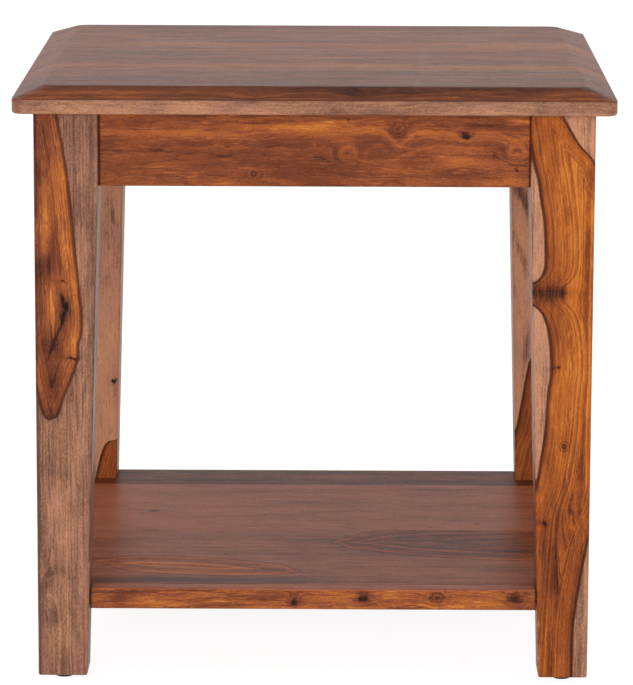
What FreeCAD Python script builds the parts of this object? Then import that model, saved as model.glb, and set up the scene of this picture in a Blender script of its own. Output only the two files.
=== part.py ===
import FreeCAD, Part
import math
import os

# End table with a lower shelf in solid wood, modelled piece by piece as it comes apart on a bench.
# Millimetres. X runs left to right, Y front to back (the front faces -Y) and Z up.
# The origin is on the floor, under the centre of the top.

Vector = FreeCAD.Vector

# Overall size
table_height = 457.9
top_width = 450.0
top_depth = 450.0

# Top: planks glued edge to edge, with a wide bevel that slopes down to a square edge
top_thickness = 19.0
bevel_width = 22.5
bevel_drop = 8.2
top_corner_radius = 9.0
bevel_crown_radius = 7.0
top_arris = 2.0
top_plank_front_depth = 117.0
top_plank_second_depth = 96.0
top_plank_third_depth = 103.0  # the back plank takes up the rest
top_overhang = 15.2

# Legs: straight beside the aprons, then tapering on the two inner faces down to the foot
leg_width = 48.0
foot_width = 37.4
leg_arris = 2.4
foot_chamfer = 1.2

# Aprons between the legs, with mitred tenons that meet inside each leg
apron_height = 56.6
apron_thickness = 20.0
apron_setback = 6.0
apron_arris = 1.4
apron_tenon_thickness = 8.0
apron_tenon_shoulder = 8.0
mitre_gap = 0.6

# Shelf: a strip and three planks glued into one panel, notched round the legs
shelf_top = 72.2
shelf_thickness = 16.3
shelf_front_setback = 4.8
shelf_back_setback = 3.0
shelf_side_setback = 4.8
shelf_arris = 2.0
shelf_strip_depth = 15.2
shelf_plank_front_depth = 177.0
shelf_plank_back_depth = 57.6  # the middle plank takes up the rest
shelf_notch_gap = 0.3

# Bearers under the sides of the shelf, tenoned into the legs
bearer_height = 25.0
bearer_thickness = 18.0
bearer_setback = 10.0
bearer_arris = 1.4
bearer_end_gap = 0.2
bearer_tenon_thickness = 8.0
bearer_tenon_shoulder = 5.0
bearer_tenon_length = 15.0

# Corner blocks glued into the corners of the apron frame
block_height = 25.0
block_reach = 48.0
block_notch_gap = 0.3

# Gaps round tenons in their mortises, and past their ends
tenon_side_gap = 0.15
tenon_end_gap = 1.0

# Small round pieces and their holes are made with flat sides
round_sides = 12
glide_sides = 24

# Pan-head wood screws
screw_radius = 2.0
screw_head_radius = 4.0
screw_head_height = 2.4
screw_crown_radius = 2.2
screw_point = 4.0
screw_tip_radius = 0.4
screw_hole_gap = 0.1
screw_hole_spare = 1.0
counterbore_gap = 0.5
top_screw_bite = 11.0
block_screw_bite = 14.0
block_screw_offset = 20.0
block_screw_seat = 10.0
shelf_screw_bite = 10.0
shelf_screw_inset = 40.0

# Dowels between the ends of the shelf and the legs
dowel_radius = 3.0
dowel_length = 24.0
dowel_gap = 0.1
dowel_end_gap = 0.8
dowel_chamfer = 0.8

# Glides nailed under the feet
glide_height = 4.5
glide_radius = 7.0
glide_edge_round = 2.0
nail_radius = 1.1
nail_length = 15.0
nail_point = 2.5
nail_tip_radius = 0.3
nail_head_radius = 2.8
nail_head_height = 0.9
nail_seat = 1.0
nail_gap = 0.1
nail_hole_spare = 0.8

# Places worked out from the sizes above
outer_x = top_width / 2 - top_overhang
outer_y = top_depth / 2 - top_overhang
top_underside = table_height - top_thickness
apron_bottom = top_underside - apron_height
apron_inner = apron_setback + apron_thickness
leg_bottom = glide_height
shelf_underside = shelf_top - shelf_thickness
shelf_front = -outer_y + shelf_front_setback
shelf_back = outer_y - shelf_back_setback
shelf_side = outer_x - shelf_side_setback
bearer_bottom = shelf_underside - bearer_height
top_screw_length = block_height + top_screw_bite
block_screw_length = block_screw_seat + block_screw_bite
shelf_screw_length = bearer_height + shelf_screw_bite

# A length past every piece, for cutting tools, and the distance below which two places are the same
far = top_width + top_depth + table_height
same_place = 1e-6

sides = {"left": -1, "right": 1}
ends = {"front": -1, "back": 1}
corners = {end + "_" + side: (sides[side], ends[end]) for end in ends for side in sides}


# Shapes that several pieces use

def box(low, high):
    """Box between two corners given as (x, y, z)."""
    size = [high[axis] - low[axis] for axis in range(3)]
    return Part.makeBox(size[0], size[1], size[2], Vector(*low))


def plan_prism(points, low_z, high_z):
    """Upright prism on an outline given as (x, y) points."""
    loop = [Vector(x, y, low_z) for x, y in points]
    face = Part.Face(Part.makePolygon(loop + loop[:1]))
    return face.extrude(Vector(0, 0, high_z - low_z))


def rounded_rectangle(low_x, low_y, high_x, high_y, radius, z):
    """Level outline of a rectangle with rounded corners."""
    centres = (
        (high_x - radius, high_y - radius),
        (low_x + radius, high_y - radius),
        (low_x + radius, low_y + radius),
        (high_x - radius, low_y + radius),
    )
    arcs = []
    for turn, (x, y) in enumerate(centres):
        rim = []
        for part in (0, 0.5, 1):
            angle = (turn + part) * math.pi / 2
            rim.append(Vector(x + radius * math.cos(angle), y + radius * math.sin(angle), z))
        arcs.append(rim)
    edges = []
    for turn, rim in enumerate(arcs):
        edges.append(Part.Arc(*rim).toShape())
        edges.append(Part.makeLine(rim[2], arcs[(turn + 1) % 4][0]))
    return Part.Wire(edges)


def round_outline(radius, z, flats):
    """Level outline of a small round piece: a regular polygon with its corners on the radius."""
    turn = 2 * math.pi / flats
    loop = [Vector(radius * math.cos(i * turn), radius * math.sin(i * turn), z) for i in range(flats)]
    return Part.makePolygon(loop + loop[:1])


def turned(profile, flats=round_sides):
    """Small round solid about Z: lengths stacked through (radius, height) points, with steps between them."""
    lengths = []
    for (low_radius, low_z), (high_radius, high_z) in zip(profile, profile[1:]):
        if high_z > low_z:
            outlines = [round_outline(low_radius, low_z, flats), round_outline(high_radius, high_z, flats)]
            lengths.append(Part.makeLoft(outlines, True, True))
    return lengths[0].multiFuse(lengths[1:]).removeSplitter()


def round_hole(radius, length, base, direction):
    """Tool for a small round hole of this length, from base along direction."""
    bar = Part.Face(round_outline(radius, 0, round_sides)).extrude(Vector(0, 0, length))
    return placed(bar, base, direction)


def placed(shape, base, direction):
    """Copy of a shape made along +Z, moved so that its origin is at base and +Z points along direction."""
    copy = shape.copy()
    copy.Placement = FreeCAD.Placement(base, FreeCAD.Rotation(Vector(0, 0, 1), direction))
    return copy


def eased(shape, radius, wanted):
    """Shape with the arrises that the test wanted picks out rounded over."""
    edges = [edge for edge in shape.Edges if wanted(edge)]
    return shape.makeFillet(radius, edges)


def lies_level(edge, z):
    """True for an edge that lies in the level plane at z."""
    return all(abs(vertex.Z - z) < same_place for vertex in edge.Vertexes)


def lies_along(edge, z, length):
    """True for an edge of this length that lies in the level plane at z."""
    return lies_level(edge, z) and abs(edge.Length - length) < same_place


def cut_all(shape, tools):
    """Shape with every tool cut out of it."""
    for tool in tools:
        shape = shape.cut(tool)
    return shape.removeSplitter()


# Wood screws

def screw(length):
    """Pan-head screw along +Z, with the underside of its head at the origin."""
    return turned((
        (screw_crown_radius, -screw_head_height),
        (screw_head_radius, -screw_head_height / 2),
        (screw_head_radius, 0),
        (screw_radius, 0),
        (screw_radius, length - screw_point),
        (screw_tip_radius, length),
    ))


def screw_hole(base, direction, length):
    """Hole that a screw of this length passes through or bites into."""
    return round_hole(screw_radius + screw_hole_gap, length + screw_hole_spare, base, direction)


def top_screw_places():
    """Seats and directions of the top screws: up through the thickest part of each corner block."""
    notch = leg_width + block_notch_gap
    crown = (leg_width + block_reach + apron_inner) / 2
    inset = (notch + crown) / 2
    seat = top_underside - block_height
    places = []
    for side, end in corners.values():
        base = Vector(side * (outer_x - inset), end * (outer_y - inset), seat)
        places.append((base, Vector(0, 0, 1)))
    return places


def block_screw_places():
    """Seats and directions of the corner block screws: two in each block, square to the two aprons."""
    along = leg_width + block_screw_offset
    across = apron_inner + block_screw_seat
    z = top_underside - block_height / 2
    places = []
    for side, end in corners.values():
        to_front = Vector(side * (outer_x - along), end * (outer_y - across), z)
        to_side = Vector(side * (outer_x - across), end * (outer_y - along), z)
        places.append((to_front, Vector(0, end, 0)))
        places.append((to_side, Vector(side, 0, 0)))
    return places


def shelf_screw_places():
    """Seats and directions of the shelf screws: up through the bearers, near both ends and at the middle."""
    reach = bearer_half_length(bearer_bottom) - shelf_screw_inset
    x = outer_x - bearer_setback - bearer_thickness / 2
    places = []
    for side in sides.values():
        for y in (-reach, 0, reach):
            places.append((Vector(side * x, y, bearer_bottom), Vector(0, 0, 1)))
    return places


def screw_group(places, length):
    """All screws of one kind, as separate solids."""
    one = screw(length)
    return Part.makeCompound([placed(one, base, direction) for base, direction in places])


def screw_holes(places, length):
    """Holes for all screws of one kind."""
    return [screw_hole(base, direction, length) for base, direction in places]


# Legs

def leg_width_at(z):
    """Width of a leg at a height: full beside the aprons, then tapering to the foot."""
    if z >= apron_bottom:
        return leg_width
    share = (z - leg_bottom) / (apron_bottom - leg_bottom)
    return foot_width + (leg_width - foot_width) * share


def leg_rectangle(side, end, z, grow=0.0):
    """Low and high corners of a leg's section at a height, grown by a gap on every face."""
    width = leg_width_at(z)
    xs = sorted((side * (outer_x + grow), side * (outer_x - width - grow)))
    ys = sorted((end * (outer_y + grow), end * (outer_y - width - grow)))
    return xs[0], ys[0], xs[1], ys[1]


def leg_blank(side, end):
    """Tapered leg with rounded arrises and a chamfered foot."""
    heights = (
        (leg_bottom, -foot_chamfer),
        (leg_bottom + foot_chamfer, 0),
        (apron_bottom, 0),
        (top_underside, 0),
    )
    sections = []
    for z, grow in heights:
        sections.append(rounded_rectangle(*leg_rectangle(side, end, z, grow), leg_arris, z))
    return Part.makeLoft(sections, True, True)


def tapered_slab(facing, outer, gap, lift, depth):
    """Slab with the taper of a leg as its profile, grown by a gap: lift puts (across, z) in space."""
    profile = (
        (outer + gap, leg_bottom),
        (outer - foot_width - gap, leg_bottom),
        (outer - leg_width - gap, apron_bottom),
        (outer + gap, apron_bottom),
    )
    loop = [lift(facing * across, z) for across, z in profile]
    return Part.Face(Part.makePolygon(loop + loop[:1])).extrude(depth)


def leg_envelope(side, end, gap):
    """Square-edged tapered space that a notch leaves for a leg beside the shelf."""
    across_x = tapered_slab(side, outer_x, gap, lambda x, z: Vector(x, -far, z), Vector(0, 2 * far, 0))
    across_y = tapered_slab(end, outer_y, gap, lambda y, z: Vector(-far, y, z), Vector(2 * far, 0, 0))
    return across_x.common(across_y)


def leg(side, end):
    """Leg with its mortises and holes."""
    tools = apron_mortises(side, end)
    tools.append(bearer_mortise(side, end))
    tools.append(dowel_hole(side, end))
    tools.append(nail_hole(side, end))
    return cut_all(leg_blank(side, end), tools)


# Aprons: along is the way an apron runs, across is the way its outer face looks

def plan_points(points, runs_left_right):
    """Plan points given as (along, across), as (x, y)."""
    if runs_left_right:
        return list(points)
    return [(across, along) for along, across in points]


def apron_reach(runs_left_right):
    """Outer faces of the legs along an apron and across it."""
    if runs_left_right:
        return outer_x, outer_y
    return outer_y, outer_x


def apron_tenon(runs_left_right, facing, end):
    """Tenon at one end of an apron, mitred where it meets its neighbour inside the leg."""
    along, across = apron_reach(runs_left_right)
    outer = apron_setback + (apron_thickness - apron_tenon_thickness) / 2
    inner = outer + apron_tenon_thickness
    shoulder = along - leg_width
    points = (
        (end * shoulder, facing * (across - outer)),
        (end * (along - outer - mitre_gap), facing * (across - outer)),
        (end * (along - inner - mitre_gap), facing * (across - inner)),
        (end * shoulder, facing * (across - inner)),
    )
    low_z = apron_bottom + apron_tenon_shoulder
    high_z = top_underside - apron_tenon_shoulder
    return plan_prism(plan_points(points, runs_left_right), low_z, high_z)


def apron(runs_left_right, facing):
    """Apron with an eased lower edge, a tenon at each end and holes for the corner block screws."""
    along, across = apron_reach(runs_left_right)
    shoulder = along - leg_width
    points = [
        (end * shoulder, facing * (across - depth))
        for end, depth in ((-1, apron_setback), (1, apron_setback), (1, apron_inner), (-1, apron_inner))
    ]
    board = plan_prism(plan_points(points, runs_left_right), apron_bottom, top_underside)
    board = eased(board, apron_arris, lambda edge: lies_along(edge, apron_bottom, 2 * shoulder))
    for end in (-1, 1):
        board = board.fuse(apron_tenon(runs_left_right, facing, end))
    return cut_all(board, screw_holes(block_screw_places(), block_screw_length))


def apron_mortises(side, end):
    """The two mortises in a leg, one for each apron, which meet inside it."""
    outer = apron_setback + (apron_thickness - apron_tenon_thickness) / 2
    inner = outer + apron_tenon_thickness
    low_z = apron_bottom + apron_tenon_shoulder - tenon_side_gap
    high_z = top_underside - apron_tenon_shoulder + tenon_side_gap
    mortises = []
    for runs_left_right in (True, False):
        along, across = apron_reach(runs_left_right)
        toward, facing = (side, end) if runs_left_right else (end, side)
        mouth = toward * (along - leg_width - tenon_end_gap)
        bottom = toward * (along - outer + tenon_end_gap)
        near = facing * (across - outer + tenon_side_gap)
        back = facing * (across - inner - tenon_side_gap)
        points = ((mouth, near), (bottom, near), (bottom, back), (mouth, back))
        mortises.append(plan_prism(plan_points(points, runs_left_right), low_z, high_z))
    return mortises


# Corner blocks

def corner_block(side, end):
    """Triangular block across an inside corner of the apron frame, notched round the leg."""
    notch = leg_width + block_notch_gap
    tip = leg_width + block_reach
    outline = (
        (notch, apron_inner),
        (tip, apron_inner),
        (apron_inner, tip),
        (apron_inner, notch),
        (notch, notch),
    )
    points = [(side * (outer_x - along), end * (outer_y - across)) for along, across in outline]
    block = plan_prism(points, top_underside - block_height, top_underside)
    tools = screw_holes(top_screw_places(), top_screw_length)
    for base, direction in block_screw_places():
        tools.append(screw_hole(base, direction, block_screw_length))
        tools.append(round_hole(screw_head_radius + counterbore_gap, tip, base, direction * -1))
    return cut_all(block, tools)


# Top

def top_blank():
    """The whole top: a square edge, a bevel on all four sides and eased arrises, with its screw holes."""
    slope = math.hypot(bevel_width, bevel_drop)
    step_in = top_arris * bevel_width / slope
    step_up = top_arris * bevel_drop / slope
    edge_top = table_height - bevel_drop
    profile = (
        (top_arris, top_underside, top_corner_radius),
        (0, top_underside + top_arris, top_corner_radius),
        (0, edge_top - top_arris, top_corner_radius),
        (step_in, edge_top + step_up, top_corner_radius),
        (bevel_width - step_in, table_height - step_up, bevel_crown_radius),
        (bevel_width + top_arris, table_height, bevel_crown_radius),
    )
    sections = []
    for inset, z, radius in profile:
        x = top_width / 2 - inset
        y = top_depth / 2 - inset
        sections.append(rounded_rectangle(-x, -y, x, y, radius, z))
    blank = Part.makeLoft(sections, True, True)
    return cut_all(blank, screw_holes(top_screw_places(), top_screw_length))


def boards_from(blank, front, depths):
    """Boards cut from a glued-up blank, front to back, by name and depth."""
    boards = {}
    for name, depth in depths.items():
        knife = box((-far, front, -far), (far, front + depth, far))
        boards[name] = blank.common(knife).removeSplitter()
        front += depth
    return boards


def top_planks():
    """The four planks of the top."""
    depths = {
        "top_plank_front": top_plank_front_depth,
        "top_plank_second": top_plank_second_depth,
        "top_plank_third": top_plank_third_depth,
    }
    depths["top_plank_back"] = top_depth - sum(depths.values())
    return boards_from(top_blank(), -top_depth / 2, depths)


# Shelf

def shelf_blank():
    """The whole shelf panel, notched round the legs, with its screw and dowel holes."""
    panel = box((-shelf_side, shelf_front, shelf_underside), (shelf_side, shelf_back, shelf_top))
    for z in (shelf_underside, shelf_top):
        panel = eased(panel, shelf_arris, lambda edge: lies_level(edge, z))
    tools = [leg_envelope(side, end, shelf_notch_gap) for side, end in corners.values()]
    tools += [dowel_hole(side, end) for side, end in corners.values()]
    tools += screw_holes(shelf_screw_places(), shelf_screw_length)
    return cut_all(panel, tools)


def shelf_boards():
    """The strip and the three planks of the shelf."""
    ends_depth = shelf_strip_depth + shelf_plank_front_depth + shelf_plank_back_depth
    depths = {
        "shelf_front_strip": shelf_strip_depth,
        "shelf_plank_front": shelf_plank_front_depth,
        "shelf_plank_middle": shelf_back - shelf_front - ends_depth,
        "shelf_plank_back": shelf_plank_back_depth,
    }
    return boards_from(shelf_blank(), shelf_front, depths)


# Shelf bearers

def bearer_half_length(z):
    """Half the length of a bearer at a height, up to the sloping faces of the legs."""
    return outer_y - leg_width_at(z) - bearer_end_gap


def bearer_tenon_box(side, end, gap, end_gap):
    """Tenon of a bearer, from inside its sloping shoulder, or with gaps its mortise."""
    inset = bearer_setback + (bearer_thickness - bearer_tenon_thickness) / 2
    xs = sorted((side * (outer_x - inset + gap), side * (outer_x - inset - bearer_tenon_thickness - gap)))
    root = bearer_half_length(shelf_underside) - bearer_tenon_shoulder
    tip = bearer_half_length(shelf_underside) + bearer_tenon_length + end_gap
    ys = sorted((end * root, end * tip))
    low_z = bearer_bottom + bearer_tenon_shoulder - gap
    high_z = shelf_underside - bearer_tenon_shoulder + gap
    return box((xs[0], ys[0], low_z), (xs[1], ys[1], high_z))


def bearer(side):
    """Bearer whose ends follow the taper of the legs, with an eased lower edge and a tenon at each end."""
    inner_x = side * (outer_x - bearer_setback - bearer_thickness)
    low = bearer_half_length(bearer_bottom)
    high = bearer_half_length(shelf_underside)
    profile = ((-low, bearer_bottom), (low, bearer_bottom), (high, shelf_underside), (-high, shelf_underside))
    loop = [Vector(inner_x, y, z) for y, z in profile]
    face = Part.Face(Part.makePolygon(loop + loop[:1]))
    rail = face.extrude(Vector(side * bearer_thickness, 0, 0))
    rail = eased(rail, bearer_arris, lambda edge: lies_along(edge, bearer_bottom, 2 * low))
    for end in ends.values():
        rail = rail.fuse(bearer_tenon_box(side, end, 0, 0))
    return cut_all(rail, screw_holes(shelf_screw_places(), shelf_screw_length))


def bearer_mortise(side, end):
    """Space for a bearer's tenon in a leg."""
    return bearer_tenon_box(side, end, tenon_side_gap, tenon_end_gap)


# Dowels

def dowel_place(side, end):
    """Middle of a dowel and the way it points: across the joint between the shelf's end and a leg."""
    z = shelf_top - shelf_thickness / 2
    x = outer_x - leg_width_at(z)
    depth_on_front = -(shelf_front + shelf_strip_depth / 2)
    depth_on_back = outer_y - leg_width_at(z) / 2
    y = depth_on_front if end < 0 else depth_on_back
    return Vector(side * x, end * y, z), Vector(side, 0, 0)


def dowel_hole(side, end):
    """Hole for a dowel, half in the shelf and half in the leg."""
    middle, direction = dowel_place(side, end)
    half = dowel_length / 2 + dowel_end_gap
    return round_hole(dowel_radius + dowel_gap, 2 * half, middle - direction * half, direction)


def dowels():
    """All dowels, with chamfered ends, as separate solids."""
    half = dowel_length / 2
    pin = turned((
        (dowel_radius - dowel_chamfer, -half),
        (dowel_radius, -half + dowel_chamfer),
        (dowel_radius, half - dowel_chamfer),
        (dowel_radius - dowel_chamfer, half),
    ))
    places = [dowel_place(side, end) for side, end in corners.values()]
    return Part.makeCompound([placed(pin, middle, direction) for middle, direction in places])


# Glides

def foot_centre(side, end):
    """Middle of the foot of a leg, at floor level."""
    return Vector(side * (outer_x - foot_width / 2), end * (outer_y - foot_width / 2), 0)


def glide(side, end):
    """Low round glide, rounded underneath, with a pocket for the head of its nail."""
    middle = glide_edge_round * (1 - math.cos(math.pi / 4))
    profile = (
        (glide_radius - glide_edge_round, 0),
        (glide_radius - middle, middle),
        (glide_radius, glide_edge_round),
        (glide_radius, glide_height),
    )
    up = Vector(0, 0, 1)
    pocket = round_hole(nail_head_radius + nail_gap, glide_height, up * nail_seat, up)
    return placed(turned(profile, glide_sides).cut(pocket), foot_centre(side, end), up)


def nail_hole(side, end):
    """Hole for a glide's nail, up into the foot."""
    length = nail_seat + nail_length + nail_hole_spare
    return round_hole(nail_radius + nail_gap, length, foot_centre(side, end), Vector(0, 0, 1))


def nails():
    """All glide nails, point up, as separate solids."""
    pin = turned((
        (nail_head_radius, nail_seat),
        (nail_head_radius, nail_seat + nail_head_height),
        (nail_radius, nail_seat + nail_head_height),
        (nail_radius, nail_seat + nail_length - nail_point),
        (nail_tip_radius, nail_seat + nail_length),
    ))
    return Part.makeCompound([
        placed(pin, foot_centre(side, end), Vector(0, 0, 1)) for side, end in corners.values()
    ])


# The whole table

def table_pieces():
    """Every piece of the table by name."""
    pieces = {}
    for corner, (side, end) in corners.items():
        pieces["leg_" + corner] = leg(side, end)
        pieces["corner_block_" + corner] = corner_block(side, end)
        pieces["foot_glide_" + corner] = glide(side, end)
    for name, end in ends.items():
        pieces["apron_" + name] = apron(True, end)
    for name, side in sides.items():
        pieces["apron_" + name] = apron(False, side)
        pieces["shelf_bearer_" + name] = bearer(side)
    pieces.update(top_planks())
    pieces.update(shelf_boards())
    pieces["top_screws"] = screw_group(top_screw_places(), top_screw_length)
    pieces["corner_block_screws"] = screw_group(block_screw_places(), block_screw_length)
    pieces["shelf_screws"] = screw_group(shelf_screw_places(), shelf_screw_length)
    pieces["shelf_dowels"] = dowels()
    pieces["glide_nails"] = nails()
    return pieces


os.makedirs("parts", exist_ok=True)
for name, shape in table_pieces().items():
    shape.exportStep("parts/" + name + ".step")
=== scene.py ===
"""End table with a shelf: the looks of its pieces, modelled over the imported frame, as an add-on."""

import math
from typing import NamedTuple

import bmesh
import bpy
from bpy.props import FloatProperty, FloatVectorProperty, PointerProperty
from mathutils import Matrix, Vector


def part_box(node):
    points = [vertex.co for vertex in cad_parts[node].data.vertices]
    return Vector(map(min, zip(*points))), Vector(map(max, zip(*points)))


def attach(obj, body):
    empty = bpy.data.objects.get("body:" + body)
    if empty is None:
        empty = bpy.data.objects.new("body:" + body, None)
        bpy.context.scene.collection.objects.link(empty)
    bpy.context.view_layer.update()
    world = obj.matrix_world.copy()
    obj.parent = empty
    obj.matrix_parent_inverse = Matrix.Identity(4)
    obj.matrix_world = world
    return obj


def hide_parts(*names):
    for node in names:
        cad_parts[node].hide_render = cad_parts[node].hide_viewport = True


bl_info = {
    "name": "End table with shelf",
    "version": (1, 0, 0),
    "blender": (4, 5, 0),
    "location": "3D View > Sidebar > End table",
    "description": "Builds the pieces, finishes and studio stage of a solid-wood end table",
    "category": "Mesh",
}

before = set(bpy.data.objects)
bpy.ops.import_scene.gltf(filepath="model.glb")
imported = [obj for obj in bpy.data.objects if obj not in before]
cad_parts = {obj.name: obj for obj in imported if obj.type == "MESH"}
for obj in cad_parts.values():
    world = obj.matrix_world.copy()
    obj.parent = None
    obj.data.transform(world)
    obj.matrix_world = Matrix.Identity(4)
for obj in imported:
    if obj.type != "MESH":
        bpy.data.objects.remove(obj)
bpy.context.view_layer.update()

sides = {"left": -1, "right": 1}
ends = {"front": -1, "back": 1}
corners = [(end, side) for end in ends for side in sides]

# Places that several pieces share, read from the frame in metres
leg_low, leg_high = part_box("leg_back_right")
leg_width = leg_high.x - leg_low.x
apron_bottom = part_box("apron_front")[0].z
top_underside, table_top = (corner.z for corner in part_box("top_plank_front"))
shelf_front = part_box("shelf_front_strip")[0].y
shelf_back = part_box("shelf_plank_back")[1].y
shelf_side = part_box("shelf_plank_middle")[1].x
shelf_underside, shelf_top = (corner.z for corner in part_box("shelf_plank_middle"))
same_place = 1e-5
bevel_drop = 0.0082
sharp_angle = math.radians(35)


# Settings that a user can change

def length_setting(name, description, default, low, high):
    """Length in metres that a user can change."""
    return FloatProperty(
        name=name, description=description, default=default, min=low, max=high, precision=5, unit="LENGTH")


def plain_setting(name, description, default, low, high):
    """Plain number that a user can change."""
    return FloatProperty(name=name, description=description, default=default, min=low, max=high)


def colour_setting(name, description, default):
    """Colour that a user can change."""
    return FloatVectorProperty(
        name=name, description=description, default=default, subtype="COLOR", size=3, min=0, max=1)


class TableSizes(bpy.types.PropertyGroup):
    """Sizes of the table's finishing touches."""

    leg_arris: length_setting(
        "Leg arris", "Radius of the eased long edges of the legs", 0.0024, 0.0005, 0.006)
    foot_width: length_setting(
        "Foot width", "Width of a leg at the floor, after its taper", 0.0374, 0.02, 0.048)
    foot_chamfer: length_setting(
        "Foot chamfer", "Chamfer round the bottom of each leg", 0.0012, 0.0005, 0.006)
    bevel_width: length_setting(
        "Bevel width", "Width of the sloping bevel round the top", 0.0225, 0.005, 0.05)
    bevel_drop: length_setting(
        "Bevel drop", "How far the bevel falls towards the edge of the top", bevel_drop, 0.001, 0.015)
    top_corner: length_setting(
        "Top corner", "Radius of the rounded corners of the top", 0.009, 0.001, 0.02)
    top_arris: length_setting(
        "Top arris", "Radius of the eased edges of the top", 0.002, 0.0005, 0.004)
    board_arris: length_setting(
        "Board arris", "Radius of the eased lower edges of the aprons", 0.0013, 0.0005, 0.004)
    shelf_arris: length_setting(
        "Shelf arris", "Radius of the rounded outer edges of the shelf", 0.0022, 0.0005, 0.006)
    seam_groove: length_setting(
        "Seam groove", "Width of the eased edge where two planks meet", 0.0002, 0.00005, 0.001)
    notch_gap: length_setting(
        "Notch gap", "Gap between the shelf and a leg in its notch", 0.0003, 0.0, 0.002)


class TableColours(bpy.types.PropertyGroup):
    """Colours of the wood, the glides, the fasteners and the floor."""

    heart_gleam: colour_setting(
        "Heartwood gleam", "Golden flecks in the brightest heartwood", (0.68, 0.235, 0.046))
    heart_light: colour_setting(
        "Heartwood light", "Orange of bright heartwood", (0.52, 0.142, 0.024))
    heart_mid: colour_setting(
        "Heartwood middle", "Red-brown of most of the heartwood", (0.37, 0.097, 0.027))
    heart_dark: colour_setting(
        "Heartwood dark", "Dark brown of the rings in the heartwood", (0.19, 0.049, 0.018))
    heart_edge: colour_setting(
        "Heartwood edge", "Nearly black line between heartwood and sapwood", (0.05, 0.017, 0.012))
    sap_light: colour_setting("Sapwood light", "Pale tan of the sapwood", (0.64, 0.3, 0.165))
    sap_dark: colour_setting("Sapwood dark", "Grey-brown streaks in the sapwood", (0.15, 0.07, 0.046))
    rose_light: colour_setting("Rosy wood light", "Rosy brown of the shelf planks", (0.52, 0.165, 0.08))
    rose_dark: colour_setting("Rosy wood dark", "Dark streaks of the shelf planks", (0.15, 0.046, 0.026))
    glide: colour_setting("Glide", "Black plastic of the glides", (0.006, 0.006, 0.006))
    steel: colour_setting("Steel", "Zinc-plated steel of the screws and nails", (0.55, 0.53, 0.48))
    floor: colour_setting("Floor", "Pale floor of the stage", (0.8, 0.8, 0.8))


class StageSettings(bpy.types.PropertyGroup):
    """Light and camera of the studio stage."""

    lens: plain_setting("Lens", "Focal length of the camera in millimetres", 209.93, 20, 400)
    ambient: plain_setting("Ambient", "Strength of the even studio light from all round", 0.5, 0, 2)
    ceiling: plain_setting(
        "Ceiling", "How bright the space overhead looks in the lacquer, beside white", 0.3, 0, 1)
    key_power: plain_setting("Key light", "Power of the wide soft light in front", 90, 0, 1000)
    shadow_depth: plain_setting(
        "Shadow depth", "Share of the floor's white that the table's shadow darkens", 0.35, 0, 1)


# Modelling

def box_mesh(low, high):
    """New bmesh of a box between two corners."""
    bm = bmesh.new()
    place = Matrix.Translation((low + high) / 2) @ Matrix.Diagonal((*(high - low), 1))
    bmesh.ops.create_cube(bm, size=1, matrix=place)
    return bm


def everything(bm):
    """All vertices, edges and faces of a bmesh."""
    return bm.verts[:] + bm.edges[:] + bm.faces[:]


def ease(bm, edges, radius, segments=4):
    """Rounds over the given edges."""
    bmesh.ops.bevel(
        bm, geom=list(edges), offset=radius, offset_type="OFFSET", affect="EDGES",
        segments=segments, profile=0.5, material=-1, clamp_overlap=True)


def runs_along(edge, axis):
    """True for an edge that runs mostly along one axis, given as 0, 1 or 2."""
    way = edge.verts[1].co - edge.verts[0].co
    return abs(way[axis]) > 0.9 * way.length


def lies_level(edge, z):
    """True for an edge that lies in the level plane at z."""
    return all(abs(vert.co.z - z) < same_place for vert in edge.verts)


def raise_face(bm, face, rise, inset):
    """Extrudes a level face upwards, drawing its corners in by an inset, and gives the new face."""
    made = bmesh.ops.extrude_face_region(bm, geom=[face])["geom"]
    verts = [part for part in made if isinstance(part, bmesh.types.BMVert)]
    for side in sides.values():
        for end in ends.values():
            corner = [vert for vert in verts if vert.co.x * side > 0 and vert.co.y * end > 0]
            bmesh.ops.translate(bm, verts=corner, vec=(-side * inset, -end * inset, rise))
    return [part for part in made if isinstance(part, bmesh.types.BMFace)][0]


def board_between(blank, low_y, high_y, seam):
    """Copy of a glued-up blank cut down to one board, with a hairline eased edge at each cut."""
    bm = blank.copy()
    for place, facing in ((low_y, -1), (high_y, 1)):
        cut = bmesh.ops.bisect_plane(
            bm, geom=everything(bm), plane_co=(0, place, 0), plane_no=(0, facing, 0), clear_outer=True)
        rim = [part for part in cut["geom_cut"] if isinstance(part, bmesh.types.BMEdge)]
        if rim:
            bmesh.ops.edgeloop_fill(bm, edges=rim)
            crest = max(vert.co.z for edge in rim for vert in edge.verts)
            crest_edges = [edge for edge in rim if edge.is_valid and lies_level(edge, crest)]
            ease(bm, crest_edges, seam, segments=1)
    return bm


def finish_piece(bm, name, node, material):
    """Makes the bmesh a piece that rides on the table in place of a CAD node, which it hides."""
    bmesh.ops.recalc_face_normals(bm, faces=bm.faces[:])
    mesh = bpy.data.meshes.new(name)
    bm.to_mesh(mesh)
    bm.free()
    mesh.shade_smooth()
    mesh.set_sharp_from_angle(angle=sharp_angle)
    mesh.materials.append(material)
    piece = bpy.data.objects.new(name, mesh)
    bpy.context.scene.collection.objects.link(piece)
    flat = piece.modifiers.new("Flat faces", "WEIGHTED_NORMAL")
    flat.weight = 100
    flat.keep_sharp = True
    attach(piece, "root")
    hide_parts(node)


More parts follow.
